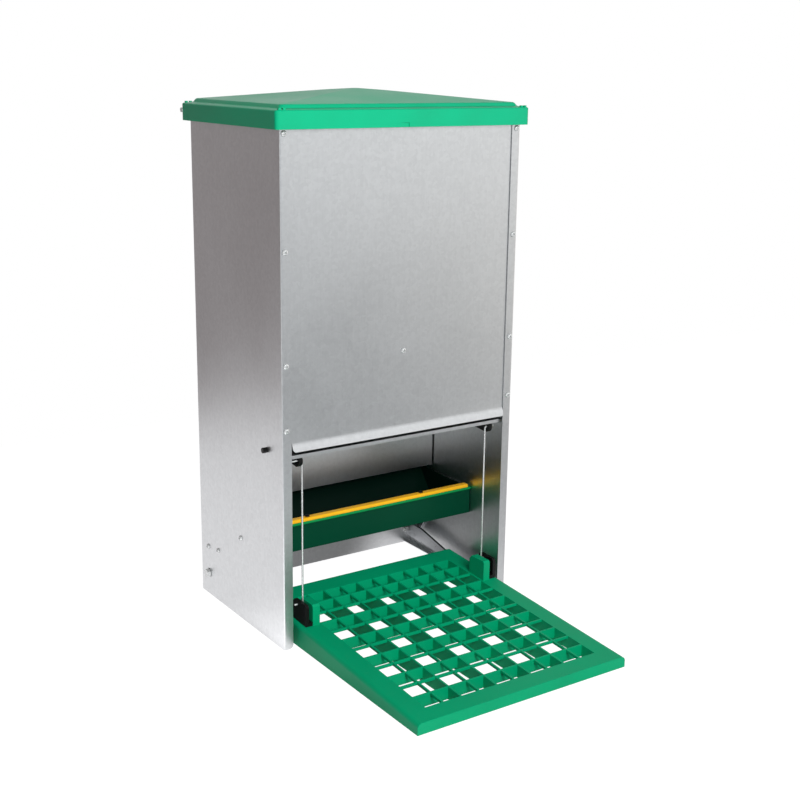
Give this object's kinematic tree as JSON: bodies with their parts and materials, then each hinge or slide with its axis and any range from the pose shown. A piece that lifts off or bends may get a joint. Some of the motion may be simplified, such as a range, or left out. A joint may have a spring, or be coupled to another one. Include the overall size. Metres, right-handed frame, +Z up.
{
  "type": "treadle chicken feeder",
  "caption": "Sheet-metal box feeder with a plastic lid, a trough behind a swinging flap and a grid treadle that opens the flap through wire links.",
  "frame": {"origin": "on the ground, under the middle of the whole feeder's footprint (box and treadle together)", "axes": "+Z up, +X to the right of someone facing the feeding side, +Y from the treadle's front edge towards the back of the box"},
  "size_m": [0.317, 0.4332, 0.5856],
  "materials": {
    "galvanised_sheet": "galvanised, faint spangle, satin",
    "zinc_plated_steel": "bright zinc plate",
    "plain_steel": "zinc-plated flat steel, satin",
    "dark_steel": "blackened",
    "lid_plastic": "green moulded plastic, satin",
    "treadle_plastic": "green moulded plastic, satin",
    "trough_plastic": "green moulded plastic, satin",
    "yellow_plastic": "yellow moulded plastic",
    "black_plastic": "black moulded plastic"
  },
  "bodies": {
    "box": {"left_side_panel": "galvanised_sheet", "right_side_panel": "galvanised_sheet", "front_panel": "galvanised_sheet", "back_panel": "galvanised_sheet", "feed_baffle": "galvanised_sheet", "trough": "trough_plastic", "trough_edge_strip": "yellow_plastic", "pivot_plate_left": "plain_steel", "pivot_plate_right": "plain_steel", "pivot_bolt_left": "zinc_plated_steel", "pivot_bolt_right": "zinc_plated_steel", "pivot_nut_left": "zinc_plated_steel", "pivot_nut_right": "zinc_plated_steel", "return_spring_left": "plain_steel", "return_spring_right": "plain_steel", "front_screw_left_1": "zinc_plated_steel", "front_screw_left_2": "zinc_plated_steel", "front_screw_left_3": "zinc_plated_steel", "front_screw_left_4": "zinc_plated_steel", "front_screw_right_1": "zinc_plated_steel", "front_screw_right_2": "zinc_plated_steel", "front_screw_right_3": "zinc_plated_steel", "front_screw_right_4": "zinc_plated_steel", "baffle_screw": "zinc_plated_steel", "back_screw_left_1": "zinc_plated_steel", "back_screw_left_2": "zinc_plated_steel", "back_screw_left_3": "zinc_plated_steel", "back_screw_right_1": "zinc_plated_steel", "back_screw_right_2": "zinc_plated_steel", "back_screw_right_3": "zinc_plated_steel", "plate_screw_left_1": "zinc_plated_steel", "plate_screw_left_2": "zinc_plated_steel", "plate_screw_right_1": "zinc_plated_steel", "plate_screw_right_2": "zinc_plated_steel", "trough_screw_left": "zinc_plated_steel", "trough_screw_right": "zinc_plated_steel", "strip_screw_left": "dark_steel", "strip_screw_right": "dark_steel"},
    "lid": {"lid": "lid_plastic", "lid_hinge_pin_left": "zinc_plated_steel", "lid_hinge_pin_right": "zinc_plated_steel"},
    "flap": {"flap": "galvanised_sheet", "flap_lever_left": "black_plastic", "flap_lever_right": "black_plastic", "flap_pivot_left": "black_plastic", "flap_pivot_right": "black_plastic"},
    "treadle": {"treadle_plate": "treadle_plastic", "treadle_clip_left": "black_plastic", "treadle_clip_right": "black_plastic", "treadle_arm_left": "plain_steel", "treadle_arm_right": "plain_steel", "arm_screw_left_1": "zinc_plated_steel", "arm_screw_left_2": "zinc_plated_steel", "arm_screw_right_1": "zinc_plated_steel", "arm_screw_right_2": "zinc_plated_steel"},
    "link_left": {"link_rod_left": "zinc_plated_steel"},
    "link_right": {"link_rod_right": "zinc_plated_steel"}
  },
  "joints": [
    {"name": "lid_hinge", "type": "hinge", "parent": "box", "child": "lid", "pos_m": [0, 0.2136, 0.56], "axis": [-1, 0, 0], "range_deg": [0, 100]},
    {"name": "treadle_tilt", "type": "hinge", "parent": "box", "child": "treadle", "pos_m": [0, 0.1906, 0.0263], "axis": [-1, 0, 0], "range_deg": [0, 7.8], "deforming": ["return_spring_left", "return_spring_right"]},
    {"name": "flap_swing", "type": "hinge", "parent": "box", "child": "flap", "pos_m": [0, 0.0436, 0.216], "axis": [-1, 0, 0], "range_deg": [0, 54.6]},
    {"name": "link_left_swing", "type": "hinge", "parent": "treadle", "child": "link_left", "pos_m": [-0.1215, 0.0186, 0.045], "axis": [-1, 0, 0], "range_deg": [-7.8, 0]},
    {"name": "link_right_swing", "type": "hinge", "parent": "treadle", "child": "link_right", "pos_m": [0.1215, 0.0186, 0.045], "axis": [-1, 0, 0], "range_deg": [-7.8, 0]}
  ],
  "couplings": [
    {"joint": "flap_swing", "follows": "treadle_tilt", "ratio": 7},
    {"joint": "link_left_swing", "follows": "treadle_tilt", "ratio": -1},
    {"joint": "link_right_swing", "follows": "treadle_tilt", "ratio": -1}
  ]
}
